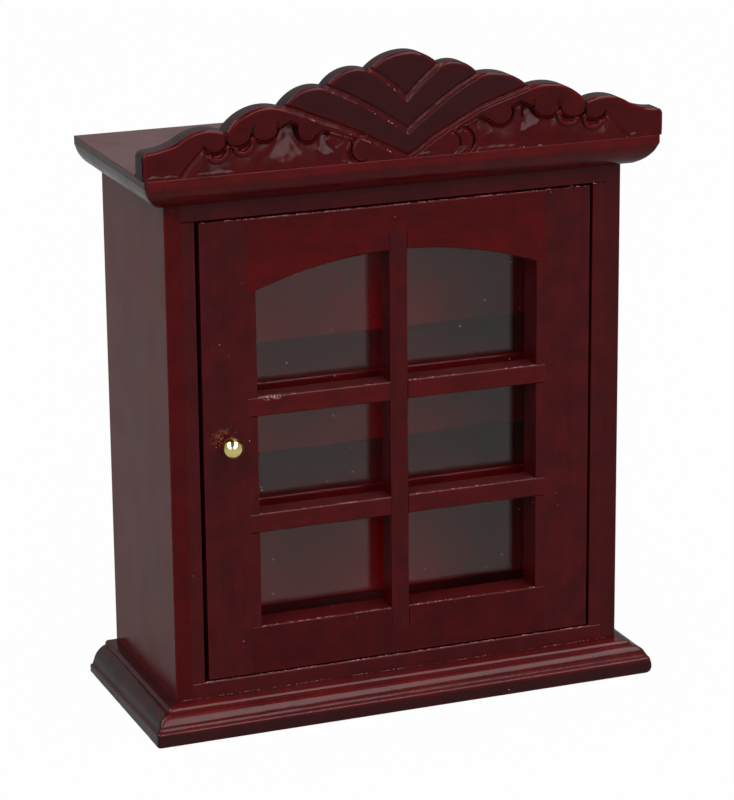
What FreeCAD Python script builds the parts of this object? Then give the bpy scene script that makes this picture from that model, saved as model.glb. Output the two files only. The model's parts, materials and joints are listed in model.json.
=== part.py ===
import FreeCAD, Part
import math
import os

# Doll's-house display cabinet at 1:12, in millimetres. +Z is up and the front faces -Y.
# The origin is on the surface that the base stands on, in the middle of the footprint.

# Carcass boards
carcass_width = 71.0
carcass_depth = 29.6
carcass_height = 75.0
side_thick = 2.5
carcass_top_thick = 2.9
carcass_bottom_thick = 2.7
back_thick = 1.6
strip_width = 2.0
strip_depth = 2.4

# Shelves, let into stopped housings in the sides
shelf_thick = 2.4
shelf_setback = 6.8
shelf_rise = 0.2
housing_depth = 0.8
housing_clearance = 0.1

# Base moulding, from the top: bead, quirk, quarter round, foot with a soft lip
base_thick = 4.8
base_side_overhang = 4.4
base_front_overhang = 4.45
bead_reach = 1.9
bead_radius = 0.65
bead_height = 0.95
quirk_width = 0.15
foot_height = 1.85
foot_lip = 0.4
foot_lip_drop = 0.2
foot_lip_radius = 0.35
foot_radius = 0.6

# Cornice moulding: square fascia over a shallow round
cornice_thick = 4.6
cornice_side_overhang = 4.1
cornice_front_overhang = 4.8
cornice_fascia = 1.4
cornice_soffit = 1.6
cornice_bulge = 0.4

# Crest board and its carving
crest_height = 15.25
crest_end_lap = 0.35
crest_thick = 3.6
crest_setback = 0.1
groove_width = 0.8
groove_depth = 0.5
groove_sweep = 0.6
field_depth = 0.8
field_rim = 1.2

# Door frame and glazing bars
door_thick = 4.8
knob_side_gap = 0.6
hinge_side_gap = 0.4
door_top_gap = 0.25
door_bottom_gap = 0.3
knob_stile_width = 8.4
hinge_stile_width = 8.6
bottom_rail_height = 7.2
top_rail_end_height = 10.75
top_rail_crown_height = 6.8
lap_length = 1.45
bar_height = 2.9
bar_to_pane = 1.1
lower_pane_height = 14.5
middle_pane_height = 14.8
mullion_width = 2.8
mullion_top_lap = 2.65
mullion_bottom_lap = 3.2

# Clear sheet in a rebate at the back of the door
pane_thick = 0.8
rebate_width = 1.2
rebate_depth = 0.3
pane_clearance = 0.1

# Knob on a pin that hangs a little down and to the left
knob_radius = 1.62
knob_from_edge = 4.17
knob_from_bottom = 36.11
knob_reach = 2.05
knob_droop = 0.35
knob_lean = 0.5
knob_neck_radius = 0.55
knob_neck_start = 0.3
knob_collar_radius = 0.85
knob_collar_thick = 0.45
knob_spigot_radius = 0.6
knob_spigot_length = 3.0
knob_seat_clearance = 0.01

# Hinge pins
pin_radius = 0.5
pin_seat_cover = 0.7
pin_door_length = 3.0
pin_end_clearance = 0.2
pin_running_clearance = 0.05
pin_seat_clearance = 0.01
pivot_from_edge = 2.7
pivot_from_front = 1.25

# Softened arrises under the lacquer
board_arris = 0.3
door_arris = 0.25

# Levels and planes worked out from the sizes above
overall_depth = carcass_depth + cornice_front_overhang
back_y = overall_depth / 2
front_y = back_y - carcass_depth
carcass_half = carcass_width / 2
inner_half = carcass_half - side_thick
carcass_base = base_thick
carcass_head = carcass_base + carcass_height
floor_top = carcass_base + carcass_bottom_thick
ceiling = carcass_head - carcass_top_thick
back_face = back_y - back_thick
shelf_front = front_y + shelf_setback
cornice_top = carcass_head + cornice_thick
crest_front = front_y - cornice_front_overhang + crest_setback
crest_half_width = carcass_half + cornice_side_overhang + crest_end_lap

doorway_half = inner_half - strip_width
door_left = -doorway_half + knob_side_gap
door_right = doorway_half - hinge_side_gap
door_bottom = floor_top + door_bottom_gap
door_top = ceiling - door_top_gap
door_back = front_y + door_thick
light_left = door_left + knob_stile_width
light_right = door_right - hinge_stile_width
light_middle = (light_left + light_right) / 2
light_bottom = door_bottom + bottom_rail_height
light_spring = door_top - top_rail_end_height
light_crown = door_top - top_rail_crown_height
lower_bar_bottom = light_bottom + lower_pane_height
upper_bar_bottom = lower_bar_bottom + bar_height + middle_pane_height
lower_bar = (lower_bar_bottom, lower_bar_bottom + bar_height)
upper_bar = (upper_bar_bottom, upper_bar_bottom + bar_height)
mullion_left = light_middle - mullion_width / 2
mullion_right = light_middle + mullion_width / 2
bar_depth = door_thick - rebate_depth - bar_to_pane
bar_lap = bar_depth / 2
rail_lap = door_thick / 2
rebate_floor = door_back - rebate_depth
pivot_x = door_right - pivot_from_edge
pivot_y = front_y + pivot_from_front
pin_head = carcass_head - pin_seat_cover
pin_foot = carcass_base + pin_seat_cover
knob_x = door_left + knob_from_edge
knob_z = door_bottom + knob_from_bottom

point = FreeCAD.Vector
past = 5.0
parts = {}


# A block between its low and high limits along each axis
def block(x, y, z):
    return Part.makeBox(x[1] - x[0], y[1] - y[0], z[1] - z[0], point(x[0], y[0], z[0]))


# A round peg standing on z0 and ending at z1
def peg(radius, x, y, z0, z1):
    return Part.makeCylinder(radius, z1 - z0, point(x, y, z0), point(0, 0, 1))


# A flat face inside a closed outline. A step is an end point, or a point on an arc and its end point.
def outline_face(start, steps, place):
    edges = []
    here = start
    for step in steps:
        end = step[-1]
        if len(step) == 2:
            edges.append(Part.Arc(place(*here), place(*step[0]), place(*end)).toShape())
        else:
            edges.append(Part.LineSegment(place(*here), place(*end)).toShape())
        here = end
    return Part.Face(Part.Wire(edges))


# The edges that lie on every plane named
def edges_on(shape, **planes):
    chosen = []
    for edge in shape.Edges:
        box = edge.BoundBox
        limits = {"x": (box.XMin, box.XMax), "y": (box.YMin, box.YMax), "z": (box.ZMin, box.ZMax)}
        flat = [max(abs(end - level) for end in limits[axis]) < 1e-4 for axis, level in planes.items()]
        if all(flat):
            chosen.append(edge)
    return chosen


# The one solid left after a run of cuts
def trimmed(shape, cutters):
    for cutter in cutters:
        shape = shape.cut(cutter)
    return shape.removeSplitter().Solids[0]


# The solid with the chosen edges rounded
def softened(shape, radius, edges):
    return shape.makeFillet(radius, edges).Solids[0]


# The point on a quarter turn from the level run at start to the upright run at end
def quarter_point(start, end):
    turn = math.sin(math.pi / 4)
    return (start[0] + (end[0] - start[0]) * turn, end[1] + (start[1] - end[1]) * turn)


# A board whose front and side edges carry one moulding, mitred at the corners
def moulded_board(profile, side_overhang, front_overhang):
    full_width = carcass_width + 2 * side_overhang
    full_depth = carcass_depth + front_overhang

    def along_front(reach, level):
        return point(-full_width, front_y - reach, level)

    def along_side(reach, level):
        return point(carcass_half + reach, -full_depth, level)

    front_start, front_steps = profile(front_overhang, -carcass_depth)
    side_start, side_steps = profile(side_overhang, -carcass_width - 2 * side_overhang)
    front = outline_face(front_start, front_steps, along_front).extrude(point(2 * full_width, 0, 0))
    right = outline_face(side_start, side_steps, along_side).extrude(point(0, 2 * full_depth, 0))
    left = right.mirror(point(0, 0, 0), point(1, 0, 0))
    return front.common(right).common(left).removeSplitter().Solids[0]


# Base profile, from the top at the far side, round the moulding, to the underside
def base_profile(overhang, far):
    quirk = carcass_base - bead_height
    round_start = (bead_reach + quirk_width, quirk)
    round_end = (overhang - foot_lip, foot_height + foot_lip_drop)
    bead_start = (bead_reach - bead_radius, carcass_base)
    bead_end = (bead_reach, carcass_base - bead_radius)
    lip_turn = foot_lip_radius * (1 - math.sin(math.pi / 4))
    foot_turn = foot_radius * (1 - math.sin(math.pi / 4))
    steps = [
        (bead_start,),
        (quarter_point(bead_start, bead_end), bead_end),
        ((bead_reach, quirk),),
        (round_start,),
        (quarter_point(round_start, round_end), round_end),
        ((round_end[0], foot_height),),
        ((overhang - foot_lip_radius, foot_height),),
        ((overhang - lip_turn, foot_height - lip_turn), (overhang, foot_height - foot_lip_radius)),
        ((overhang, foot_radius),),
        ((overhang - foot_turn, foot_turn), (overhang - foot_radius, 0)),
        ((far, 0),),
        ((far, carcass_base),),
    ]
    return (far, carcass_base), steps


# Cornice profile, the same way round
def cornice_profile(overhang, far):
    arris_start = (overhang - board_arris, cornice_top)
    arris_end = (overhang, cornice_top - board_arris)
    round_start = (overhang, cornice_top - cornice_fascia)
    round_end = (cornice_soffit, carcass_head)
    run = overhang - cornice_soffit
    drop = round_start[1] - carcass_head
    slope = math.hypot(run, drop)
    round_middle = (
        (round_start[0] + round_end[0]) / 2 + cornice_bulge * drop / slope,
        (round_start[1] + round_end[1]) / 2 - cornice_bulge * run / slope,
    )
    steps = [
        (arris_start,),
        (quarter_point(arris_start, arris_end), arris_end),
        (round_start,),
        (round_middle, round_end),
        ((far, carcass_head),),
        ((far, cornice_top),),
    ]
    return (far, cornice_top), steps


# Carcass
def make_sides():
    housings = []
    for bar in (lower_bar, upper_bar):
        shelf_top = bar[1] + shelf_rise
        housings.append(block(
            (-inner_half - housing_depth, inner_half + housing_depth),
            (shelf_front, back_face),
            (shelf_top - shelf_thick, shelf_top + housing_clearance),
        ))
    board = block((inner_half, carcass_half), (front_y, back_y), (carcass_base, carcass_head))
    right = trimmed(board, housings)
    right = softened(right, board_arris, edges_on(right, x=carcass_half, y=front_y))
    parts["right_side"] = right
    parts["left_side"] = right.mirror(point(0, 0, 0), point(1, 0, 0))


def make_top_and_bottom():
    across = (-inner_half, inner_half)
    through = (front_y, back_y)
    seat_radius = pin_radius + pin_seat_clearance
    top = block(across, through, (ceiling, carcass_head))
    top_seat = peg(seat_radius, pivot_x, pivot_y, ceiling - past, pin_head)
    bottom = block(across, through, (carcass_base, floor_top))
    bottom_seat = peg(seat_radius, pivot_x, pivot_y, pin_foot, floor_top + past)
    top = trimmed(top, [top_seat])
    bottom = trimmed(bottom, [bottom_seat])
    parts["carcass_top"] = softened(top, board_arris, edges_on(top, y=front_y, z=ceiling))
    parts["carcass_bottom"] = softened(bottom, board_arris, edges_on(bottom, y=front_y, z=floor_top))


def make_back():
    parts["back_panel"] = block((-inner_half, inner_half), (back_face, back_y), (floor_top, ceiling))


def make_shelves():
    reach = inner_half + housing_depth - housing_clearance
    for name, bar in (("lower_shelf", lower_bar), ("upper_shelf", upper_bar)):
        shelf_top = bar[1] + shelf_rise
        shelf = block((-reach, reach), (shelf_front, back_face), (shelf_top - shelf_thick, shelf_top))
        parts[name] = softened(shelf, board_arris, edges_on(shelf, y=shelf_front, z=shelf_top))


def make_strips():
    strip = block((doorway_half, inner_half), (front_y, front_y + strip_depth), (floor_top, ceiling))
    strip = softened(strip, door_arris, edges_on(strip, x=doorway_half, y=front_y))
    parts["right_filler_strip"] = strip
    parts["left_filler_strip"] = strip.mirror(point(0, 0, 0), point(1, 0, 0))


def make_hinge_pins():
    pins = [
        ("hinge_pin_upper", door_top - pin_door_length, pin_head),
        ("hinge_pin_lower", pin_foot, door_bottom + pin_door_length),
    ]
    for name, low, high in pins:
        parts[name] = peg(pin_radius, pivot_x, pivot_y, low, high)


# The carved crest. Its pattern is drawn as distance from the middle and height above the cornice,
# for a crest of the half width and height given first, and is stretched to the real one.
pattern_half_width = 39.95
pattern_height = 15.25
crest_end_height = 4.0
crest_corner = 1.0
crest_notches = [(27.6, 5.95), (19.15, 8.7), (11.7, 11.1), (5.15, 13.0)]
crest_lobes = [(23.6, 8.75), (15.6, 10.95), (9.2, 13.0)]
crest_scroll = [(36.6, 4.35), (34.6, 5.15), (31.2, 6.45)]
groove_points = [0.1, 3.95, 8.6]
field_foot = 34.3
field_start = (30.9, 4.1)
field_scallops = [((29.3, 3.1), (27.4, 4.3)), ((25.5, 3.7), (23.7, 5.2)), ((21.5, 4.1), (19.7, 5.7))]
field_peak = (17.8, 6.7)
field_drop = ((16.6, 6.0), (15.0, 3.5), (13.3, 4.3))
petal = ((7.0, 3.1), (8.9, 1.7), (7.4, 0.0))


def on_crest(side):
    stretch = side * crest_half_width / pattern_half_width
    lift = crest_height / pattern_height
    return lambda across, height: point(stretch * across, crest_front, cornice_top + lift * height)


# Half of the outline, from the middle of the foot to the crown
def crest_half_steps():
    corner_start = (pattern_half_width, crest_end_height - crest_corner)
    corner_end = (pattern_half_width - crest_corner, crest_end_height)
    turn = crest_corner * (1 - math.sin(math.pi / 4))
    steps = [
        ((pattern_half_width, 0),),
        (corner_start,),
        ((pattern_half_width - turn, crest_end_height - turn), corner_end),
        (crest_scroll[0], crest_scroll[1]),
        (crest_scroll[2], crest_notches[0]),
    ]
    for lobe, notch in zip(crest_lobes, crest_notches[1:]):
        steps.append((lobe, notch))
    return steps


# One curved arm of a V groove, from a notch in the outline down to its point on the centre line
def groove_arm(notch, foot):
    length = math.hypot(notch[0], notch[1] - foot)
    along = (notch[0] / length, (notch[1] - foot) / length)
    across = (-along[1], along[0])

    def lip(offset):
        shift = (across[0] * offset, across[1] * offset)
        low = (shift[0] - along[0] * groove_width / 2, foot + shift[1] - along[1] * groove_width / 2)
        high = (notch[0] + shift[0] + along[0] * groove_width, notch[1] + shift[1] + along[1] * groove_width)
        rise = groove_sweep * length / pattern_height
        middle = ((low[0] + high[0]) / 2 + across[0] * rise, (low[1] + high[1]) / 2 + across[1] * rise)
        return low, middle, high

    lower_lip = lip(-groove_width / 2)
    upper_lip = lip(groove_width / 2)
    steps = [
        (lower_lip[1], lower_lip[2]),
        (upper_lip[2],),
        (upper_lip[1], upper_lip[0]),
        (lower_lip[0],),
    ]
    return lower_lip[0], steps


# The sunk field under the scalloped rim, on one side
def field_steps():
    rim_notch = crest_notches[1]
    rim_slope = (rim_notch[1] - groove_points[0]) / rim_notch[0]

    def under_rim(across):
        return (across, groove_points[0] + rim_slope * across - field_rim + groove_sweep)

    steps = [(field_start,)]
    steps += field_scallops
    steps.append((field_peak,))
    steps.append((field_drop[0],))
    steps.append((field_drop[1], field_drop[2]))
    steps.append((under_rim(field_drop[2][0] - field_rim),))
    steps.append((petal[0],))
    steps.append((petal[1], petal[2]))
    steps.append(((petal[2][0], -past),))
    steps.append(((field_foot, -past),))
    steps.append(((field_foot, 0),))
    return (field_foot, 0), steps


def make_crest():
    through = point(0, crest_thick, 0)
    cap_reach, cap_foot = crest_notches[-1]
    cap_rise = pattern_height - cap_foot
    cap_radius = (cap_reach ** 2 + cap_rise ** 2) / (2 * cap_rise)
    cap_drop = cap_radius - math.sqrt(cap_radius ** 2 - (cap_reach / 2) ** 2)
    half = crest_half_steps()
    half.append(((cap_reach / 2, pattern_height - cap_drop), (0, pattern_height)))
    half.append(((0, 0),))
    right = outline_face((0, 0), half, on_crest(1)).extrude(through)
    left = right.mirror(point(0, 0, 0), point(1, 0, 0))
    board = right.fuse(left).removeSplitter()
    cutters = []
    for side in (1, -1):
        for notch, foot in zip(crest_notches[1:], groove_points):
            start, steps = groove_arm(notch, foot)
            groove = outline_face(start, steps, on_crest(side))
            cutters.append(groove.extrude(point(0, groove_depth, 0)))
        start, steps = field_steps()
        field = outline_face(start, steps, on_crest(side))
        cutters.append(field.extrude(point(0, field_depth, 0)))
    parts["crest_board"] = trimmed(board, cutters)


# Door frame, lapped on the front, with a rebate for the sheet at the back
def door_rebate():
    return block(
        (light_left - rebate_width, light_right + rebate_width),
        (rebate_floor, door_back + past),
        (light_bottom - rebate_width, light_crown + rebate_width),
    )


def lap_seats():
    across = (light_left - lap_length, light_right + lap_length)
    seats = [
        block(across, (front_y - past, front_y + rail_lap), (light_spring, door_top + past)),
        block(across, (front_y - past, front_y + rail_lap), (door_bottom - past, light_bottom)),
    ]
    for bar in (lower_bar, upper_bar):
        seats.append(block(across, (front_y - past, front_y + bar_lap), bar))
    return seats


def make_stiles():
    seat = Part.makeCylinder(
        knob_spigot_radius + knob_seat_clearance,
        knob_spigot_length + pin_end_clearance + past,
        point(knob_x, front_y - past, knob_z),
        point(0, 1, 0),
    )
    bore_radius = pin_radius + pin_running_clearance
    bore_depth = pin_door_length + pin_end_clearance
    bores = [
        peg(bore_radius, pivot_x, pivot_y, door_top - bore_depth, door_top + past),
        peg(bore_radius, pivot_x, pivot_y, door_bottom - past, door_bottom + bore_depth),
    ]
    through = (front_y, door_back)
    up = (door_bottom, door_top)
    seats = lap_seats() + [door_rebate()]
    stiles = [
        ("door_knob_stile", (door_left, light_left), seats + [seat]),
        ("door_hinge_stile", (light_right, door_right), seats + bores),
    ]
    for name, across, cutters in stiles:
        stile = trimmed(block(across, through, up), cutters)
        arrises = edges_on(stile, x=across[0], y=front_y) + edges_on(stile, x=across[1], y=front_y)
        parts[name] = softened(stile, door_arris, arrises)


# A rail or bar whose front half runs on over the stiles
def lapped_rail(z, depth, lap):
    front = block((light_left - lap_length, light_right + lap_length), (front_y, front_y + lap), z)
    back = block((light_left, light_right), (front_y, front_y + depth), z)
    return front.fuse(back).removeSplitter()


def mullion_blank():
    top = light_crown + mullion_top_lap
    bottom = light_bottom - mullion_bottom_lap
    return block((mullion_left, mullion_right), (front_y, front_y + bar_lap), (bottom, top))


def make_rails():
    top = lapped_rail((light_spring, door_top), door_thick, rail_lap)
    bottom = lapped_rail((door_bottom, light_bottom), door_thick, rail_lap)

    def on_front(across, height):
        return point(across, front_y - past, height)

    arch_steps = [((light_middle, light_crown), (light_right, light_spring)), ((light_left, light_spring),)]
    arch = outline_face((light_left, light_spring), arch_steps, on_front)
    arch = arch.extrude(point(0, door_thick + 2 * past, 0))
    top = trimmed(top, [arch, door_rebate(), mullion_blank()])
    bottom = trimmed(bottom, [door_rebate(), mullion_blank()])
    arched = [edge for edge in edges_on(top, y=front_y) if edge.Curve.TypeId == "Part::GeomCircle"]
    top_arrises = arched + edges_on(top, y=front_y, z=door_top)
    bottom_arrises = edges_on(bottom, y=front_y, z=light_bottom)
    parts["door_top_rail"] = softened(top, door_arris, top_arrises)
    parts["door_bottom_rail"] = softened(bottom, door_arris, bottom_arrises)


def make_glazing_bars():
    across = (mullion_left, mullion_right)
    through = (front_y, front_y + bar_depth)
    mullion = mullion_blank().fuse(block(across, through, (light_bottom, light_crown)))
    halvings = []
    for name, bar in (("door_lower_bar", lower_bar), ("door_upper_bar", upper_bar)):
        rail = trimmed(lapped_rail(bar, bar_depth, bar_lap), [mullion_blank()])
        arrises = edges_on(rail, y=front_y, z=bar[0]) + edges_on(rail, y=front_y, z=bar[1])
        parts[name] = softened(rail, door_arris, arrises)
        halvings.append(block((-carcass_half, carcass_half), (front_y + bar_lap, front_y + bar_depth), bar))
    mullion = trimmed(mullion, halvings + [parts["door_top_rail"]])
    arrises = edges_on(mullion, x=mullion_left, y=front_y) + edges_on(mullion, x=mullion_right, y=front_y)
    parts["door_mullion"] = softened(mullion, door_arris, arrises)


def make_pane():
    reach = rebate_width - pane_clearance
    parts["door_pane"] = block(
        (light_left - reach, light_right + reach),
        (rebate_floor, rebate_floor + pane_thick),
        (light_bottom - reach, light_crown + reach),
    )


# Knob: a turned spigot and collar square to the door, a leaning neck and a ball
def make_knob():
    collar_shoulder = (knob_collar_radius - knob_collar_thick / 3, knob_collar_thick * 2 / 3)
    steps = [
        ((knob_spigot_radius, -knob_spigot_length),),
        ((knob_spigot_radius, 0),),
        ((knob_collar_radius, 0),),
        (collar_shoulder, (knob_neck_radius, knob_collar_thick)),
        ((0, knob_collar_thick),),
        ((0, -knob_spigot_length),),
    ]

    def turned(radius, reach):
        return point(knob_x + radius, front_y - reach, knob_z)

    section = outline_face((0, -knob_spigot_length), steps, turned)
    stem = section.revolve(point(knob_x, front_y, knob_z), point(0, 1, 0), 360)
    neck_foot = point(knob_x, front_y - knob_neck_start, knob_z)
    ball_centre = point(knob_x - knob_lean, front_y - knob_reach, knob_z - knob_droop)
    toward_ball = ball_centre - neck_foot
    neck = Part.makeCylinder(knob_neck_radius, toward_ball.Length, neck_foot, toward_ball)
    ball = Part.makeSphere(knob_radius, ball_centre)
    parts["door_knob"] = stem.fuse(neck).fuse(ball).removeSplitter().Solids[0]


make_sides()
make_top_and_bottom()
make_back()
make_shelves()
make_strips()
make_hinge_pins()
parts["cornice_board"] = moulded_board(cornice_profile, cornice_side_overhang, cornice_front_overhang)
parts["base_board"] = moulded_board(base_profile, base_side_overhang, base_front_overhang)
make_crest()
make_stiles()
make_rails()
make_glazing_bars()
make_pane()
make_knob()

os.makedirs("parts", exist_ok=True)
for name, shape in parts.items():
    shape.exportStep("parts/" + name + ".step")
    print(name, shape.ShapeType, len(shape.Solids), shape.isValid(), round(shape.Volume, 2))
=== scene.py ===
import json
import math

import bmesh
import bpy
import numpy as np
from mathutils import Matrix, Vector, noise

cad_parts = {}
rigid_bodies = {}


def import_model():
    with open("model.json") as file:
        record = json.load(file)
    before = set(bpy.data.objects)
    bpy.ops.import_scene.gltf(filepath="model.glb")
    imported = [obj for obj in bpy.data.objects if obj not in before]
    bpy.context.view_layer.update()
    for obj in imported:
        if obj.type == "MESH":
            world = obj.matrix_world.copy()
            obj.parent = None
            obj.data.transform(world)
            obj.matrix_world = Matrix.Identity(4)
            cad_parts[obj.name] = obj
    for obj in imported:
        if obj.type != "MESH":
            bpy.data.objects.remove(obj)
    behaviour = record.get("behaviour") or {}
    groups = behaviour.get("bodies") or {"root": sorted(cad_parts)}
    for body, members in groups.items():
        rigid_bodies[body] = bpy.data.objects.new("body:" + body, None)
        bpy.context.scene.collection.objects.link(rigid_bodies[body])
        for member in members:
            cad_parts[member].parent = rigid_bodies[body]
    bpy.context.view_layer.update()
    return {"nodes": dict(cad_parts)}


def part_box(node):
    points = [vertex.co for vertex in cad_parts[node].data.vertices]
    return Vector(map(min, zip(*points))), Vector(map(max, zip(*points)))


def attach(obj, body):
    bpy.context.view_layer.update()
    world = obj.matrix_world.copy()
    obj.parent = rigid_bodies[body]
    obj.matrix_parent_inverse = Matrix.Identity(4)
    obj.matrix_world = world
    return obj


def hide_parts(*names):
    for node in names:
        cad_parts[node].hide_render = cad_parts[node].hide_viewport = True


for leftover in list(bpy.data.objects):  # a start-up cube, lamp or camera
    bpy.data.objects.remove(leftover)

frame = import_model()
nodes = frame["nodes"]
mm = 0.001
print("frame loaded,", len(nodes), "nodes")


# Camera

photoCamera = {
    "lens": 149.34, "sensor": 36, "nearest": 0.01,
    "azimuth": -21.271, "elevation": 16.421, "roll": -0.542,
    "place": (-0.17400, -0.44617, 0.18495),
}


def addObject(name, data):
    thing = bpy.data.objects.new(name, data)
    bpy.context.scene.collection.objects.link(thing)
    return thing


def lookFrom(azimuth, elevation):  # level, upright and outward directions of a view
    turn, lift = math.radians(azimuth), math.radians(elevation)
    back = Vector((math.sin(turn) * math.cos(lift), -math.cos(turn) * math.cos(lift), math.sin(lift)))
    level = Vector((math.cos(turn), math.sin(turn), 0))
    return level, back.cross(level), back


def makeCamera(s):
    level, upright, back = lookFrom(s["azimuth"], s["elevation"])
    roll = math.radians(s["roll"])
    right = level * math.cos(roll) + upright * math.sin(roll)
    up = upright * math.cos(roll) - level * math.sin(roll)
    data = bpy.data.cameras.new("photoCamera")
    data.lens = s["lens"]
    data.sensor_width = s["sensor"]
    data.clip_start = s["nearest"]
    cam = addObject("photoCamera", data)
    cam.matrix_world = Matrix.Translation(s["place"]) @ Matrix((right, up, back)).transposed().to_4x4()
    bpy.context.scene.camera = cam


makeCamera(photoCamera)
bpy.context.scene.view_settings.view_transform = "Standard"
print("camera set")


# Node helpers

def screen(red, green, blue):  # a colour as a screen shows it, made linear
    def linear(v):
        v /= 255
        return v / 12.92 if v <= 0.04045 else ((v + 0.055) / 1.055) ** 2.4
    return (linear(red), linear(green), linear(blue), 1)


def addNode(tree, kind, values=None, **options):
    node = tree.nodes.new(kind)
    for key, value in options.items():
        setattr(node, key, value)
    for key, value in (values or {}).items():
        if isinstance(value, bpy.types.NodeSocket):
            tree.links.new(value, node.inputs[key])
        else:
            node.inputs[key].default_value = value
    return node


def addOut(tree, kind, values=None, **options):  # a node's first output
    return addNode(tree, kind, values, **options).outputs[0]


def calc(tree, operation, *values):
    return addOut(tree, "ShaderNodeMath", dict(enumerate(values)), operation=operation)


def remap(tree, value, low, high, toLow=0.0, toHigh=1.0):
    values = {"Value": value, "From Min": low, "From Max": high, "To Min": toLow, "To Max": toHigh}
    return addOut(tree, "ShaderNodeMapRange", values, interpolation_type="SMOOTHSTEP")


def mixColour(tree, factor, below, above):
    return addNode(tree, "ShaderNodeMix", {0: factor, 6: below, 7: above}, data_type="RGBA").outputs[2]


def noiseAt(tree, vector, scale, detail=2.0, roughness=0.5):
    values = {"Vector": vector, "Scale": scale, "Detail": detail, "Roughness": roughness}
    return addNode(tree, "ShaderNodeTexNoise", values).outputs["Fac"]


def vectorCalc(tree, operation, *values):
    return addNode(tree, "ShaderNodeVectorMath", dict(enumerate(values)), operation=operation).outputs


def onAxis(tree, vector, axis):
    return addNode(tree, "ShaderNodeSeparateXYZ", {0: vector}).outputs[axis]


def coordinate(tree, kind):
    return addNode(tree, "ShaderNodeTexCoord").outputs[kind]


def newTree(name, kind, inputs, outputs):  # an input is given by its kind or its first number
    tree = bpy.data.node_groups.new(name, kind)
    for label, start in inputs.items():
        ofKind = start if isinstance(start, str) else "Float"
        socket = tree.interface.new_socket(label, in_out="INPUT", socket_type="NodeSocket" + ofKind)
        if ofKind != start:
            socket.default_value = start
    for label, ofKind in outputs.items():
        tree.interface.new_socket(label, in_out="OUTPUT", socket_type="NodeSocket" + ofKind)
    return tree, tree.nodes.new("NodeGroupInput").outputs, tree.nodes.new("NodeGroupOutput").inputs


def newEffect(name, numbers, *outputs):
    return newTree(name, "ShaderNodeTree", {"Plain": "Vector", **numbers}, dict.fromkeys(outputs, "Float"))


def placeGroup(tree, group, **values):
    return addNode(tree, "ShaderNodeGroup", values, node_tree=group).outputs


# Effects that the finishes share

def makeGrain():
    inputs = {"Stretched": "Vector", "Patch Scale": 240.0}
    group, put, out = newEffect("mahoganyGrain", inputs, "Streak", "Mottle", "Pores")
    streak = noiseAt(group, put["Stretched"], 1.0, 5.0, 0.62)
    group.links.new(remap(group, streak, 0.3, 0.7), out["Streak"])
    mottle = noiseAt(group, put["Plain"], put["Patch Scale"], 4.0, 0.6)
    group.links.new(remap(group, mottle, 0.32, 0.68), out["Mottle"])
    pores = noiseAt(group, put["Stretched"], 2.7)
    group.links.new(remap(group, pores, 0.60, 0.72), out["Pores"])
    return group


def makeArris():
    numbers = {"Break Scale": 420.0, "Flat": 0.985, "Turned": 0.78}
    group, put, out = newEffect("softArris", numbers, "Mask")
    size = vectorCalc(group, "ABSOLUTE", coordinate(group, "Normal"))[0]
    x, y, z = (onAxis(group, size, k) for k in range(3))
    most = calc(group, "MAXIMUM", calc(group, "MAXIMUM", x, y), z)
    turned = remap(group, most, put["Flat"], put["Turned"])
    broken = remap(group, noiseAt(group, put["Plain"], put["Break Scale"], 3.0, 0.6), 0.3, 0.6, 0.35)
    group.links.new(calc(group, "MULTIPLY", turned, broken), out["Mask"])
    return group


def makeDust():
    group, put, out = newEffect("settledDust", {"Cells": 320.0, "Speck": 0.05, "Share": 0.15}, "Mask")
    cells = addNode(group, "ShaderNodeTexVoronoi", {"Vector": put["Plain"], "Scale": put["Cells"]})
    near = calc(group, "LESS_THAN", cells.outputs["Distance"], put["Speck"])
    draw = addOut(group, "ShaderNodeSeparateColor", {0: cells.outputs["Color"]})
    chosen = calc(group, "LESS_THAN", draw, put["Share"])
    group.links.new(calc(group, "MULTIPLY", near, chosen), out["Mask"])
    return group


def makeLacquerSkin():
    numbers = {"Wave Scale": 330.0, "Peel Scale": 2600.0, "Peel": 0.18}
    group, put, out = newEffect("lacquerSkin", numbers, "Height", "Haze")
    wave = noiseAt(group, put["Plain"], put["Wave Scale"])
    peel = noiseAt(group, put["Plain"], put["Peel Scale"])
    group.links.new(calc(group, "MULTIPLY_ADD", peel, put["Peel"], wave), out["Height"])
    haze = noiseAt(group, put["Plain"], 160.0, 4.0, 0.6)
    group.links.new(remap(group, haze, 0.35, 0.7), out["Haze"])
    return group


grainGroup, arrisGroup, dustGroup, skinGroup = makeGrain(), makeArris(), makeDust(), makeLacquerSkin()


# Lacquered mahogany: one recipe, with each board's own grain direction and tone

woodBase = {
    "grain": "z",
    "tones": ((46, 4, 6), (72, 7, 10)),
    "streak": 0.2, "mottle": 0.5, "toneFrom": 0.15,  # how far the grain moves the tone
    "pore": screen(30, 4, 6), "poreShare": 0.25, "poreHeight": -0.12,
    "arris": screen(92, 10, 14), "arrisShare": 0.4,
    "carved": False,
    "hollow": screen(66, 4, 6), "hollowShare": 0.7, "hollowRough": 0.1,
    # the tone of the crest's recessed lobes, and the painted shade colour on the mouldings
    "lobe": screen(40, 10, 12), "lobeShare": 0.75,
    "sawnShade": screen(30, 25, 29), "sawnShadeShare": 0.8, "sawnRough": 0.35,
    "dust": screen(150, 112, 112), "dustShare": 0.06, "speck": 0.04, "dustRough": 0.3, "dustHeight": 0.5,
    "roughness": (0.18, 0.26),
    "bump": 0.1, "relief": 0.06, "peel": 0.18, "ior": 1.27,
    # painted shade colour for faces that lie level inside the door
    "ledgeShade": screen(66, 5, 7), "ledgeDull": 0.0, "ledgeFrom": (0.7, 0.95),
    "rear": None, "rearFrom": (16.6, 16.9),
    "sideShadeTones": None, "endFrom": (0.45, 0.8),
    "scuffs": (),
}
grainStretch = {"x": (55, 1500, 1500), "z": (1500, 1500, 55)}


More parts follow.
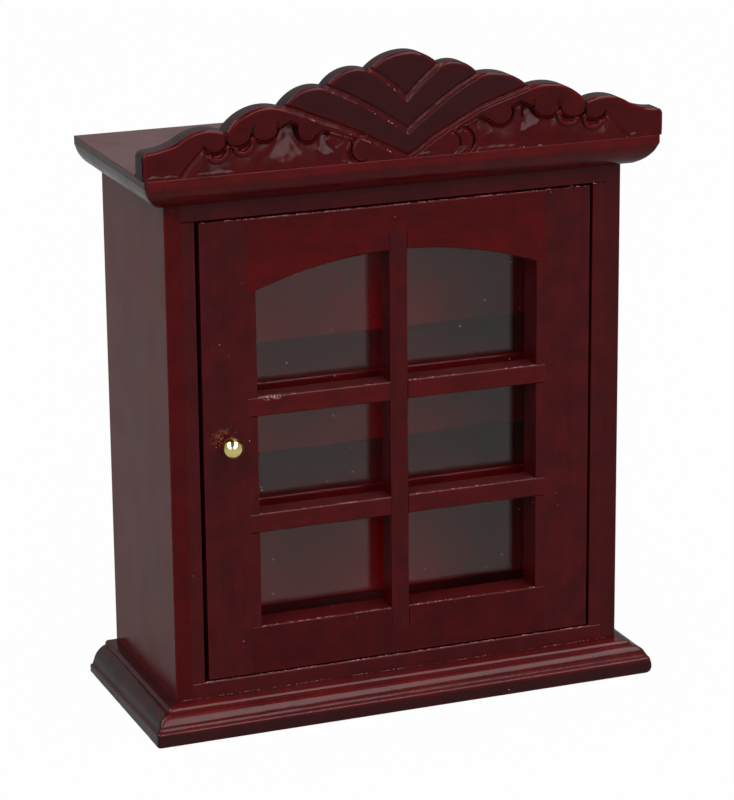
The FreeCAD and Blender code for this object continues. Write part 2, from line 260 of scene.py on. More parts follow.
def newFinish(name):
    mat = bpy.data.materials.new(name)
    mat.use_nodes = True
    tree = mat.node_tree
    return mat, tree, tree.nodes["Principled BSDF"].inputs, coordinate(tree, "Object")


def scuffMask(tree, plain, place, reach, grit, cover):
    away = vectorCalc(tree, "SUBTRACT", plain, [v * mm for v in place])[0]
    away = vectorCalc(tree, "DIVIDE", away, [v * mm for v in reach])[0]
    near = remap(tree, vectorCalc(tree, "LENGTH", away)["Value"], 1.0, 0.3)
    specks = noiseAt(tree, plain, grit, 3.0, 0.6)
    return calc(tree, "MULTIPLY", near, remap(tree, specks, cover, cover + 0.05))


def lacqueredWood(name, **changes):
    s = {**woodBase, **changes}
    mat, tree, put, plain = newFinish(name)

    def toned(mask, pair):
        return mixColour(tree, mask, *(screen(*tone) for tone in pair))

    # mixes a keyed colour in by a mask: real stain for the pores and arrises, painted shade for the sawn
    # faces and the mouldings' darker parts
    def stainAndShade(colour, mask, key):
        return mixColour(tree, calc(tree, "MULTIPLY", mask, s[key + "Share"]), colour, s[key])

    def addTo(value, mask, key):
        return calc(tree, "MULTIPLY_ADD", mask, s[key], value)

    values = {"Vector": plain, "Scale": grainStretch[s["grain"]]}
    stretched = addOut(tree, "ShaderNodeMapping", values)
    grain = placeGroup(tree, grainGroup, Plain=plain, Stretched=stretched)
    skin = placeGroup(tree, skinGroup, Plain=plain, Peel=s["peel"])
    tone = addTo(addTo(s["toneFrom"], grain["Streak"], "streak"), grain["Mottle"], "mottle")
    colour = stainAndShade(toned(tone, s["tones"]), grain["Pores"], "pore")
    if s["carved"]:
        sawnShade, arris, hollow, lobe = (
            addNode(tree, "ShaderNodeAttribute", attribute_name=key).outputs["Fac"]
            for key in ("sawnShade", "arris", "hollow", "lobe")
        )
        colour = stainAndShade(stainAndShade(colour, lobe, "lobe"), hollow, "hollow")
    else:
        arris = placeGroup(tree, arrisGroup, Plain=plain)["Mask"]
    colour = stainAndShade(colour, arris, "arris")
    if s["sideShadeTones"]:  # painted shade: faces turned to the sides get darker tones
        facing = calc(tree, "ABSOLUTE", onAxis(tree, coordinate(tree, "Normal"), 0))
        across = remap(tree, facing, *s["endFrom"])
        colour = mixColour(tree, across, colour, toned(grain["Mottle"], s["sideShadeTones"]))
    if s["carved"]:
        # painted shade: the crest's top, ends and back are painted a dark grey
        colour = stainAndShade(colour, sawnShade, "sawnShade")
    if s["rear"]:  # the side to the wall has the tone of the other boards, without the painted light of the inner face
        behind = remap(tree, onAxis(tree, plain, 1), *(v * mm for v in s["rearFrom"]))
        colour = mixColour(tree, behind, colour, toned(tone, s["rear"]))
    if s["ledgeDull"]:  # painted shade: a face that lies level inside the door is coloured a deep shadowed red, and its polish is duller
        ledgeShade = remap(tree, onAxis(tree, coordinate(tree, "Normal"), 2), *s["ledgeFrom"])
        colour = mixColour(tree, ledgeShade, colour, s["ledgeShade"])
    dust = placeGroup(tree, dustGroup, Plain=plain, Speck=s["speck"], Share=s["dustShare"])["Mask"]
    for scuff in s["scuffs"]:
        dust = calc(tree, "MAXIMUM", dust, scuffMask(tree, plain, *scuff))
    tree.links.new(mixColour(tree, dust, colour, s["dust"]), put["Base Color"])
    rough = remap(tree, skin["Haze"], 0, 1, *s["roughness"])
    if s["carved"]:
        rough = addTo(addTo(rough, hollow, "hollowRough"), sawnShade, "sawnRough")
    if s["ledgeDull"]:
        rough = addTo(rough, ledgeShade, "ledgeDull")
    tree.links.new(addTo(rough, dust, "dustRough"), put["Roughness"])
    height = addTo(addTo(skin["Height"], grain["Pores"], "poreHeight"), dust, "dustHeight")
    values = {"Strength": s["bump"], "Distance": s["relief"] * mm, "Height": height}
    tree.links.new(addOut(tree, "ShaderNodeBump", values), put["Normal"])
    put["IOR"].default_value = s["ior"]
    return mat


uprightWood = lacqueredWood("uprightBoard")
sideTones = ((56, 6, 8), (74, 9, 11))
sideWood = lacqueredWood("sideBoard", tones=sideTones, bump=0.04, ior=1.2)
rightSideWood = lacqueredWood("rightSide", tones=((48, 5, 7), (66, 8, 10)), bump=0.04)
levelWood = lacqueredWood("levelBoard", grain="x")
stripWood = lacqueredWood("fillerStrip", tones=((49, 5, 7), (70, 8, 10)))
innerWood = lacqueredWood("shelfBoard", grain="x", tones=((54, 5, 7), (80, 8, 10)), bump=0.05, ior=1.22)
# painted light: the back board's inner face gets tones about twice as bright as the other boards, standing in
# for light inside the case
paintedLightBackTones = ((108, 7, 9), (134, 9, 11))
backWood = lacqueredWood("backBoard", tones=paintedLightBackTones, bump=0.03, ior=1.18, rear=sideTones)
railWood = lacqueredWood("topRail", grain="x", tones=((56, 3, 5), (80, 5, 7)), ior=1.24)
lowRailTones = ((48, 10, 12), (70, 13, 15))
lowRailWood = lacqueredWood("bottomRail", grain="x", tones=lowRailTones, ledgeDull=0.6, ior=1.18)
stileWood = lacqueredWood("hingeStile")
knobScuffs = (  # place, reach, grit and cover
    ((-28.3, -12.4, 44.4), (1.4, 1.0, 1.7), 4200.0, 0.58),
    ((-26.3, -12.4, 45.5), (1.5, 1.0, 0.8), 3600.0, 0.62),
)
knobStileWood = lacqueredWood("knobStile", scuffs=knobScuffs)
barLook = {"grain": "x", "ledgeDull": 0.55}
barWood = lacqueredWood("glazingBar", tones=((54, 4, 6), (78, 7, 9)), **barLook)
barChip = (((-19.9, -12.3, 50.0), (2.5, 0.9, 0.65), 2600.0, 0.5),)
chippedBarWood = lacqueredWood("chippedBar", tones=((56, 4, 6), (80, 7, 9)), scuffs=barChip, **barLook)
# the side tones are painted shade on faces turned to the sides
mouldingLook = {"grain": "x", "carved": True, "arrisShare": 0.3, "sideShadeTones": ((22, 6, 8), (40, 9, 11))}
mouldingWood = lacqueredWood("mouldedBoard", tones=((58, 4, 6), (86, 7, 9)), bump=0.06, **mouldingLook)
# the base's lobe colour is painted shade for its foot and side faces
baseWood = lacqueredWood(
    "baseBoard", tones=((54, 4, 6), (82, 6, 8)), lobe=screen(20, 4, 6), bump=0.5, peel=0.45, ior=1.32,
    **mouldingLook)
crestWood = lacqueredWood(
    "carvedCrest", tones=((48, 4, 6), (70, 6, 8)), lobe=screen(40, 14, 16), roughness=(0.15, 0.22), ior=1.24,
    **mouldingLook)
print("wood finishes made")


# Clear sheet, brass, hinge wire and dust

sheetLook = {"tint": screen(246, 248, 248), "haze": screen(240, 242, 243), "ior": 1.36, "speckRough": 0.5}
brassLook = {
    "bright": screen(255, 244, 168), "deep": screen(248, 220, 118), "roughness": (0.03, 0.09),
    "tarnish": screen(150, 96, 42), "collar": (-13.2, -12.7),
}
wireLook = {"bright": screen(104, 100, 96), "dull": screen(62, 58, 54), "roughness": (0.35, 0.5)}
nibLook = {"pale": screen(198, 150, 148), "deep": screen(120, 26, 30)}
# painted highlight: the lacquer runs' pale pink, lighter than the lacquer, stands for the light they catch
litRunLook = {"pale": screen(176, 112, 114), "deep": screen(92, 20, 24)}


def makeClearSheet(s):
    mat, tree, put, plain = newFinish("clearSheet")
    smear = remap(tree, noiseAt(tree, plain, 130.0, 4.0, 0.6), 0.42, 0.7)
    specks = placeGroup(tree, dustGroup, Plain=plain, Cells=700.0, Speck=0.07, Share=0.12)["Mask"]
    tree.links.new(mixColour(tree, smear, s["tint"], s["haze"]), put["Base Color"])
    tree.links.new(calc(tree, "MULTIPLY", specks, s["speckRough"]), put["Roughness"])
    put["Transmission Weight"].default_value = 1.0
    put["IOR"].default_value = s["ior"]
    return mat


def makeBrass(s):
    mat, tree, put, plain = newFinish("polishedBrass")
    cloud = remap(tree, noiseAt(tree, plain, 520.0, 3.0, 0.55), 0.35, 0.7)
    collar = remap(tree, onAxis(tree, plain, 1), *(v * mm for v in s["collar"]))  # browner towards the wood
    colour = mixColour(tree, cloud, s["bright"], s["deep"])
    tree.links.new(mixColour(tree, collar, colour, s["tarnish"]), put["Base Color"])
    tree.links.new(remap(tree, cloud, 0, 1, *s["roughness"]), put["Roughness"])
    put["Metallic"].default_value = 1.0
    return mat


def makeWire(s):
    mat, tree, put, plain = newFinish("hingeWire")
    drawn = addOut(tree, "ShaderNodeMapping", {"Vector": plain, "Scale": (9000, 9000, 300)})
    lines = remap(tree, noiseAt(tree, drawn, 1.0, 3.0, 0.6), 0.3, 0.7)
    tree.links.new(mixColour(tree, lines, s["bright"], s["dull"]), put["Base Color"])
    tree.links.new(remap(tree, lines, 0, 1, *s["roughness"]), put["Roughness"])
    put["Metallic"].default_value = 1.0
    return mat


def makeNibFinish(name, s):
    mat, tree, put, plain = newFinish(name)
    each = noiseAt(tree, plain, 700.0, 1.0)
    tree.links.new(mixColour(tree, remap(tree, each, 0.35, 0.65), s["deep"], s["pale"]), put["Base Color"])
    tree.links.new(remap(tree, each, 0.3, 0.7, 0.16, 0.34), put["Roughness"])
    return mat


sheetFinish, brassFinish, wireFinish = makeClearSheet(sheetLook), makeBrass(brassLook), makeWire(wireLook)
dustFinish, runFinish = makeNibFinish("caughtDust", nibLook), makeNibFinish("lacquerRun", litRunLook)

nodeFinish = {
    "left_side": sideWood, "right_side": rightSideWood, "carcass_top": levelWood, "carcass_bottom": levelWood,
    "back_panel": backWood, "upper_shelf": innerWood, "lower_shelf": innerWood,
    "left_filler_strip": stripWood, "right_filler_strip": stripWood,
    "hinge_pin_upper": wireFinish, "hinge_pin_lower": wireFinish,
    "door_knob_stile": knobStileWood, "door_hinge_stile": stileWood,
    "door_top_rail": railWood, "door_bottom_rail": lowRailWood, "door_mullion": uprightWood,
    "door_upper_bar": chippedBarWood, "door_lower_bar": barWood, "door_pane": sheetFinish,
}
for name, mat in nodeFinish.items():
    nodes[name].data.materials.clear()
    nodes[name].data.materials.append(mat)
nodes["door_pane"].visible_shadow = False  # light passes through the clear sheet
nodes["door_pane"].visible_diffuse = False
print("CAD nodes finished")


# Mesh helpers, in millimetres

def makePiece(name, points, faces, mat, angle, **values):
    mesh = bpy.data.meshes.new(name)
    mesh.from_pydata((np.asarray(points, float) * mm).tolist(), [], faces)
    for key, value in values.items():
        mesh.attributes.new(key, "FLOAT", "POINT").data.foreach_set("value", np.asarray(value, np.float32))
    mesh.materials.append(mat)
    mesh.validate()
    mesh.shade_smooth()
    mesh.set_sharp_from_angle(angle=math.radians(angle))
    work = bmesh.new()
    work.from_mesh(mesh)
    bmesh.ops.triangulate(work, faces=[f for f in work.faces if len(f.verts) > 4])
    bmesh.ops.recalc_face_normals(work, faces=work.faces)
    work.to_mesh(mesh)
    work.free()
    return addObject(name, mesh)


def dress(piece, body, slot, *replaced):
    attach(piece, body)
    if replaced:
        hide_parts(*replaced)


def arcPoints(start, via, end, spacing):
    (ax, ay), (bx, by), (cx, cy) = start, via, end
    twice = 2 * (ax * (by - cy) + bx * (cy - ay) + cx * (ay - by))
    aa, bb, cc = ax * ax + ay * ay, bx * bx + by * by, cx * cx + cy * cy
    ux = (aa * (by - cy) + bb * (cy - ay) + cc * (ay - by)) / twice
    uy = (aa * (cx - bx) + bb * (ax - cx) + cc * (bx - ax)) / twice
    first = math.atan2(ay - uy, ax - ux)
    middle = (math.atan2(by - uy, bx - ux) - first) % math.tau
    sweep = (math.atan2(cy - uy, cx - ux) - first) % math.tau
    if middle > sweep:
        sweep -= math.tau
    radius = math.hypot(ax - ux, ay - uy)
    count = max(2, math.ceil(radius * abs(sweep) / spacing))
    turns = [first + sweep * k / count for k in range(1, count + 1)]
    return [(ux + radius * math.cos(turn), uy + radius * math.sin(turn)) for turn in turns]


def tracePath(start, steps, spacing):
    path = [start]
    for step in steps:
        if len(step) == 2:
            path += arcPoints(path[-1], step[0], step[1], spacing)
        else:
            (ax, ay), (bx, by) = path[-1], step[0]
            count = max(1, math.ceil(math.hypot(bx - ax, by - ay) / spacing))
            path += [(ax + (bx - ax) * k / count, ay + (by - ay) * k / count) for k in range(1, count + 1)]
    return np.array(path)


def resample(path, spacing):
    run = np.concatenate([[0], np.cumsum(np.hypot(*np.diff(path, axis=0).T))])
    marks = np.linspace(0, run[-1], max(2, round(run[-1] / spacing) + 1))
    return np.stack([np.interp(marks, run, path[:, 0]), np.interp(marks, run, path[:, 1])], 1)


def distanceTo(points, path, batch=4000):
    a, b = path[:-1], path[1:]
    along = b - a
    length = np.maximum((along ** 2).sum(1), 1e-12)
    best = np.empty(len(points))
    for low in range(0, len(points), batch):
        part = points[low:low + batch, None]
        t = np.clip(((part - a) * along).sum(2) / length, 0, 1)
        gap = part - (a + along * t[..., None])
        best[low:low + batch] = np.sqrt((gap ** 2).sum(2).min(1))
    return best


def insideOf(points, loop):
    x, y = points[:, 0], points[:, 1]
    inside = np.zeros(len(points), bool)
    for (ax, ay), (bx, by) in zip(loop, np.roll(loop, -1, axis=0)):
        crosses = (ay > y) != (by > y)
        if crosses.any():
            inside ^= crosses & (x < (bx - ax) * (y - ay) / (by - ay + 1e-12) + ax)
    return inside


def ramp(low, high, value):
    t = np.clip((value - low) / (high - low), 0, 1)
    return t * t * (3 - 2 * t)


def unevenness(points, scale, seed):
    shift = Vector((seed * 7.3, seed * 3.1, seed * 5.7))
    return np.array([noise.noise(Vector(p) * scale + shift) for p in points])


# Carved crest: a relief over the board's outline, drawn for one half and mirrored

crestLook = {
    "end": (39.95, 3.0),
    "outline": [
        ((39.657, 3.707), (38.95, 4.0)), ((36.6, 4.35), (34.6, 5.15)), ((31.2, 6.45), (27.6, 5.95)),
        ((23.6, 8.75), (19.15, 8.7)), ((15.6, 10.95), (11.7, 11.1)),
        ((9.2, 13.0), (5.15, 13.0)), ((2.575, 14.76), (0.0, 15.25)),
    ],
    "height": 15.25, "below": -3.0,  # lines run on below the foot
    "trace": 0.12, "strokeTrace": 0.1, "outlineTrace": 0.05,  # spacing of traced lines
    "veins": [  # notch, foot, step behind
        ((19.15, 8.7), 0.1, 0.1), ((11.7, 11.1), 3.95, 0.14), ((5.15, 13.0), 8.6, 0.2),
    ],
    "veinSweep": 0.6, "veinHalf": 0.54, "veinWall": 0.36, "veinDepth": 0.34,
    "rim": [  # start, steps, depth under the rim, how far the scoop runs out
        ((34.3, 0.0), [((30.9, 4.1),)], 0.06, 1.0),
        ((30.9, 4.1), [((29.3, 3.1), (27.4, 4.3)), ((25.5, 3.7), (23.7, 5.2)), ((21.5, 4.1), (19.7, 5.7))],
         0.5, 3.6),
        ((19.7, 5.7), [((17.8, 6.7),), ((16.6, 6.0),)], 0.5, 3.4),
        ((16.6, 6.0), [((15.0, 3.5), (13.3, 4.3))], 0.45, 3.4),
        ((13.3, 4.3), [((12.1, 4.93),), ((11.3, 4.65),)], 0.4, 2.4),
        ((11.3, 4.65), [((7.0, 3.1),)], 0.3, 3.0),
        ((7.0, 3.1), [((8.5, 1.7), (7.4, 0.0))], 0.3, 1.4),
    ],
    "scoops": [  # side, middle, top and bottom, half width at top and bottom, depth at the top
        (-1, 18.4, 6.8, 0.9, 2.6, 6.4, 1.9), (-1, 12.2, 5.0, 1.2, 1.3, 2.8, 1.1),
        (1, 19.2, 6.5, 1.6, 1.8, 3.4, 1.55), (1, 22.8, 5.0, 1.8, 1.6, 2.4, 0.95),
        (1, 12.4, 5.0, 1.6, 1.0, 2.2, 1.05),
    ],
    "fade": 1.3, "ragged": 0.8, "raggedScale": 0.55, "raggedSeed": 12,
    "pillow": 1.1, "pillowDrop": 0.5,
    "gouge": ((34.2, 0.2), (30.9, 4.0)), "gougeHalf": 0.42, "gougeDepth": 0.3,
    "nicks": [((27.45, 4.2), (27.6, 5.8)), ((23.75, 5.1), (23.4, 6.4)), ((19.75, 5.6), (19.9, 6.6))],
    "nickHalf": 0.3, "nickDepth": 0.3,
    "curls": [((30.0, 2.6), (28.7, 2.0), (27.35, 3.6)), ((26.2, 3.3), (24.85, 2.75), (23.6, 4.5))],
    "curlHalf": 0.45, "curlHeight": 0.5,
    "petals": [((-6.6, 3.6), (-8.5, 2.2), (-6.3, 0.0)), ((7.1, 3.4), (9.4, 1.7), (8.0, 0.1))],
    "petalRise": 0.26, "petalHalf": 0.34, "petalGroove": 0.44,
    "edge": 0.42, "backEdge": 0.5, "sawnFrom": 0.3, "arrisHalf": 0.25,
    "pools": [(-37.0, 3.0), (-29.2, 3.6), (3.4, 2.2), (14.0, 4.4), (35.2, 1.6)], "poolRise": 0.098,
    "spacing": 0.115, "rows": 112, "edgeRows": 15, "edgeBand": 0.75,
    "drift": 0.12, "driftScale": 0.35, "skin": 0.05, "skinScale": 0.8, "marks": 0.06, "markScale": 0.95,
    "skew": [  # place and shift: the carver's pattern is not quite even
        (-40, 0), (-19, 0), (-12, -0.95), (-5, -0.8), (0, -0.25),
        (5, -0.4), (11.7, -0.9), (19, -0.5), (27, 0), (40, 0),
    ],
}


def veinArm(notch, foot, s):
    length = math.hypot(notch[0], notch[1] - foot)
    ux, uy = notch[0] / length, (notch[1] - foot) / length
    rise = s["veinSweep"] * length / s["height"]
    high = (notch[0] + ux, notch[1] + uy)
    via = (high[0] / 2 - uy * rise, (high[1] + foot) / 2 + ux * rise)
    return tracePath((0.0, foot), [(via, high)], s["trace"])


def skewed(x, s):
    at, by = zip(*s["skew"])
    return x + np.interp(x, at, by)


def hump(across, half):
    return np.clip(1 - (across / half) ** 2, 0, 1)


def crestRelief(places, s):
    x, h = places.T
    half = np.stack([np.abs(x), h], 1)

    def nearLine(start, *step):
        return distanceTo(half, tracePath(start, [step], s["strokeTrace"]))

    outline = tracePath((s["end"][0], s["below"]), [(s["end"],)] + s["outline"], s["trace"])
    toEdge = np.minimum(distanceTo(half, outline), distanceTo(half, outline * (-1, 1)))
    gap = np.clip(s["edge"] - toEdge, 0, None)
    depth = s["edge"] - np.sqrt(np.maximum(s["edge"] ** 2 - gap ** 2, 0))
    arris = np.exp(-((toEdge - 0.25) / 0.3) ** 2)
    hollow, lobe = np.zeros((2, len(half)))
    for notch, foot, step in s["veins"]:
        arm = veinArm(notch, foot, s)
        across = distanceTo(half, arm)
        above = h > np.interp(half[:, 0], arm[:, 0], arm[:, 1])
        signed = np.where(above, across, -across)
        cut = ramp(s["veinHalf"], s["veinHalf"] - s["veinWall"], across)
        depth += s["veinDepth"] * cut + step * ramp(-0.1, 0.4, signed)
        hollow = np.maximum(hollow, ramp(0.6, 0.2, across))
        lobe = np.maximum(lobe, ramp(0.4, 1.2, signed))
    paths = [tracePath(start, steps, s["trace"]) for start, steps, deep, far in s["rim"]]
    away = np.array([distanceTo(half, path) for path in paths])
    toRim = away.min(0)
    weight = np.exp(-(away - toRim) / 0.25)
    weight /= weight.sum(0)
    deep = weight.T @ np.array([part[2] for part in s["rim"]])
    far = weight.T @ np.array([part[3] for part in s["rim"]])
    rim = np.vstack(paths)
    inside = insideOf(half, np.vstack([rim, [(rim[-1][0], s["below"]), (rim[0][0], s["below"])]]))
    swell = np.clip(1 - toRim / s["pillow"], 0, 1)
    raised = s["pillowDrop"] * (1 - np.sqrt(1 - swell ** 2)) * ramp(0.1, 0.45, deep)
    far = np.minimum(far, np.maximum(toRim + h - 0.5, 0.5))  # level again before the foot
    sunk = deep * (1 - np.clip((toRim - 0.25) / far, 0, 1)) ** s["fade"]
    flat = np.stack([x, h, 0 * x], 1)
    ragged = s["ragged"] * unevenness(flat, s["raggedScale"], s["raggedSeed"])  # a scoop's edge wanders
    for side, middle, top, bottom, halfTop, halfBottom, most in s["scoops"]:
        down = np.clip((top - h + 0.6 * ragged) / (top - bottom), 0, 1)
        width = halfTop + (halfBottom - halfTop) * down
        window = ramp(1.0, 0.3, np.abs(half[:, 0] - middle + ragged) / width) * (x * side > 0)
        sunk = np.maximum(sunk, most * (1 - down) ** s["fade"] * window)
    sunk *= ramp(0, 0.45, toRim)
    low = ramp(-0.1, 0.5, h)
    depth += np.where(inside, sunk, raised) * low
    signed = np.where(inside, toRim, -toRim)
    arris = np.maximum(arris, 0.7 * low * np.exp(-((signed + 0.25) / s["arrisHalf"]) ** 2))
    hollow = np.maximum(hollow, low * ramp(-0.05, 0.15, signed) * ramp(2.2, 0.5, signed))
    for curl in s["curls"]:
        across = nearLine(*curl)
        depth -= s["curlHeight"] * hump(across, s["curlHalf"])
        arris = np.maximum(arris, np.exp(-(across / s["arrisHalf"]) ** 2))
    moved = np.stack([skewed(x, s), h], 1)
    for start, via, end in s["petals"]:
        line = tracePath(start, [(via, end)], s["strokeTrace"])
        beside = math.copysign(1.3 * s["petalHalf"], via[0])  # its groove runs outside it
        across = distanceTo(moved, line + (beside, 0))
        depth += s["petalGroove"] * hump(across, s["petalHalf"])
        hollow = np.maximum(hollow, ramp(0.4, 0.1, across))
        across = distanceTo(moved, line)
        depth -= s["petalRise"] * hump(across, s["petalHalf"])
        arris = np.maximum(arris, np.exp(-(across / s["arrisHalf"]) ** 2))
    depth += s["gougeDepth"] * np.clip(1 - nearLine(*s["gouge"]) / s["gougeHalf"], 0, 1)
    for nick in s["nicks"]:
        across = nearLine(*nick)
        depth += s["nickDepth"] * np.clip(1 - across / s["nickHalf"], 0, 1)
        hollow = np.maximum(hollow, ramp(0.3, 0.1, across))
    depth = np.maximum(depth, 0)
    uneven = 0.85 + 0.5 * unevenness(np.stack([x, 0 * x, 0 * x], 1), 0.9, 9)
    for middle, reach in s["pools"]:  # lacquer that gathered in the joint to the cornice
        pool = ramp(1.0, 0.5, np.abs(x - middle) / reach) * uneven
        depth -= s["poolRise"] * np.minimum(pool, 1) * ramp(0.35 + 0.45 * pool, 0.35 * pool, h)
    return depth, arris, hollow, lobe


def makeCrest(s):
    lowCorner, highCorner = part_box("crest_board")
    foot, front, back = lowCorner[2] / mm, lowCorner[1] / mm, highCorner[1] / mm
    top = resample(tracePath(s["end"], s["outline"], s["outlineTrace"]), s["spacing"])
    top = np.vstack([top * (-1, 1), top[-2::-1]])  # left end to right end
    columns, rows = len(top), s["rows"]
    x = np.repeat(top[:, 0], rows)
    quarter = np.linspace(math.pi / 2, 0, s["edgeRows"])
    close = s["edgeBand"] * (1 - np.cos(quarter))  # rows gather under the rounded edge
    body = np.linspace(0, 1, rows - s["edgeRows"], endpoint=False)
    h = np.hstack([(top[:, 1] - close[0])[:, None] * body, top[:, 1][:, None] - close]).ravel()
    wobble = np.stack([x, h, np.zeros_like(x)], 1)
    sway = np.stack([unevenness(wobble, s["driftScale"], seed) for seed in (1, 2)], 1)
    drift = s["drift"] * sway * ramp(0, 1, h)[:, None]
    depth, arris, hollow, lobe = crestRelief(np.stack([x, h], 1) + drift, s)
    depth += s["skin"] * (0.5 + 0.5 * unevenness(wobble, s["skinScale"], 3)) * ramp(0, 0.4, depth + 0.2)
    depth += s["marks"] * unevenness(wobble, s["markScale"], 6) * ramp(0.15, 0.6, depth)  # tool marks
    x = skewed(x, s)
    points = [(px, front + d, foot + ph) for px, ph, d in zip(x, h, depth)]
    at = lambda column, row: column * rows + row
    faces = [(at(c, r), at(c + 1, r), at(c + 1, r + 1), at(c, r + 1))
             for c in range(columns - 1) for r in range(rows - 1)]
    ring = [at(0, r) for r in range(rows)] + [at(c, rows - 1) for c in range(1, columns)]
    ring += [at(columns - 1, r) for r in range(rows - 2, -1, -1)]
    ring += [at(c, 0) for c in range(columns - 2, 0, -1)]
    count = len(ring)
    flat = np.stack([x, h], 1)[ring]
    tangent = np.roll(flat, -1, axis=0) - np.roll(flat, 1, axis=0)
    tangent /= np.maximum(np.hypot(*tangent.T), 1e-9)[:, None]
    inward = np.stack([tangent[:, 1], -tangent[:, 0]], 1)  # the ring runs clockwise, seen from the front
    edgeY = np.array([points[k][1] for k in ring]) + s["sawnFrom"]
    soft = s["backEdge"]
    last = ring
    for inset, level in ((0.0, edgeY), (0.0, back - soft), (0.3 * soft, back - 0.3 * soft), (soft, back)):
        fresh = list(range(len(points), len(points) + count))
        for (px, ph), (ix, iz), py in zip(flat, inward, np.broadcast_to(level, count)):
            points.append((px + ix * inset, py, foot + max(ph + iz * inset, 0.0)))
        faces += [(last[k], last[(k + 1) % count], fresh[(k + 1) % count], fresh[k]) for k in range(count)]
        last = fresh
    faces.append(tuple(reversed(last)))
    extra = np.zeros(len(points) - len(arris))
    arris, hollow, lobe = (np.concatenate([value, extra]) for value in (arris, hollow, lobe))
    # mask of the crest's top, ends and back, which get painted shade
    sawnShade = np.arange(len(points)) >= len(points) - len(extra)
    values = {"arris": arris, "hollow": hollow, "lobe": lobe, "sawnShade": sawnShade}
    return makePiece("crestCarving", points, faces, crestWood, 75, **values)


crestPiece = makeCrest(crestLook)
dress(crestPiece, "cabinet", "moulding_wood", "crest_board")
print("crest carved,", len(crestPiece.data.polygons), "faces")


# Base and cornice: a section carried round three sides with soft mitres

def baseSection(o, quirk, tuck, low, flat, bead, lip, under):  # o is the overhang past the carcass
    inner, top, start, fillet = -0.6, 4.8, 1.4, 0.5
    turn = np.linspace(0, math.pi / 2, 15)
    over, up = np.sin(turn), np.abs(np.cos(turn))
    reach, heelTop, begin = o - tuck, lip - 0.25, start + fillet
    cove = np.stack([start + fillet * over, top - fillet + fillet * up], 1)
    swell = np.stack([begin + (reach - begin) * over ** flat, low + (quirk - low) * up ** flat], 1)
    step = [
        (reach + 0.07, bead + 0.09), (reach + 0.14, bead), (reach + 0.15, lip + 0.1),
        (reach + 0.17, lip + 0.03), (o - 0.22, lip), (o - 0.09, lip - 0.04), (o - 0.02, lip - 0.12),
        (o, heelTop),
    ]
    step += [(o, heelTop * (1 - t) + under * t) for t in (0.25, 0.5, 0.75)]
    heel = np.stack([o - under + under * up, under - under * over], 1)[::2]
    return np.vstack([[(inner, top), (0.3, top)], cove, swell, step, heel, [(inner, 0.0)]])


def corniceSection(o):
    inner, top, foot, rise = -0.6, 84.4, 79.8, 1.6
    middle = rise + (o - rise) / 2
    steps = [
        ((o - 0.06, top),), ((o - 0.018, top - 0.018), (o, top - 0.06)), ((o, 83.2),),
        ((o - 0.03, 83.08), (o - 0.1, 82.94)), ((middle + 0.27, 81.13), (rise + 0.15, foot + 0.1)),
        ((rise, foot + 0.02), (rise - 0.2, foot)), ((inner, foot),),
    ]
    return tracePath((inner, top), steps, 0.12)


baseLook = {
    "node": "base_board", "side": 4.4, "front": 4.45, "corner": 0.5, "wave": 0.025, "section": baseSection,
    "cuts": [  # quirk, tuck, low, flat, bead, lip and under, from the left back to the right back
        (4.1, 0.55, 1.8, 1.3, 1.6, 1.3, 0.15),
        (4.27, 0.5, 2.7, 1.0, 2.5, 2.15, 0.2),
        (4.27, 0.5, 2.7, 1.0, 2.5, 2.15, 0.2),
        (4.27, 1.0, 3.45, 1.0, 2.68, 2.55, 0.5),
        (4.27, 0.5, 3.45, 1.2, 2.68, 2.55, 0.5),
        (4.1, 0.5, 2.2, 1.1, 2.0, 1.7, 0.5),
    ],
    "worn": [  # height and reach where the right front corner is rubbed round
        (0.0, 3.7), (0.25, 4.1), (0.7, 4.33), (1.3, 4.4), (2.0, 4.2),
        (2.55, 3.98), (3.0, 3.75), (3.45, 3.4), (3.9, 2.85), (4.27, 1.9),
    ],
    "darkBelow": 2.05, "finish": baseWood, "sideShadeShare": 0.95, "darkAbove": 9.0,
}
corniceLook = {
    "node": "cornice_board", "side": 4.1, "front": 4.8, "corner": 0.4, "wave": 0.02,
    "section": corniceSection, "cuts": [()] * 6, "worn": [(84.0, 9.0)],
    "darkBelow": 0.0, "finish": mouldingWood, "sideShadeShare": 0.0, "darkAbove": 84.395,
}
carcassHalf, carcassFront, carcassBack = 35.5, -12.4, 17.2
sideSteps, cornerSteps, frontSteps = 40, 6, 90
footShadeShare, topShadeShare = 0.9, 0.7  # how dark the painted shade makes the foot and the top


def sectionWear(path):
    before, after = path[1:-1] - path[:-2], path[2:] - path[1:-1]
    turn = np.arctan2(before[:, 0] * after[:, 1] - before[:, 1] * after[:, 0], (before * after).sum(1))
    span = 0.5 * (np.hypot(*before.T) + np.hypot(*after.T))
    bend = -turn / span  # the path runs clockwise round the board
    return np.concatenate([[0], np.clip((bend - 1.0) / 2.5, 0, 1), [0]])


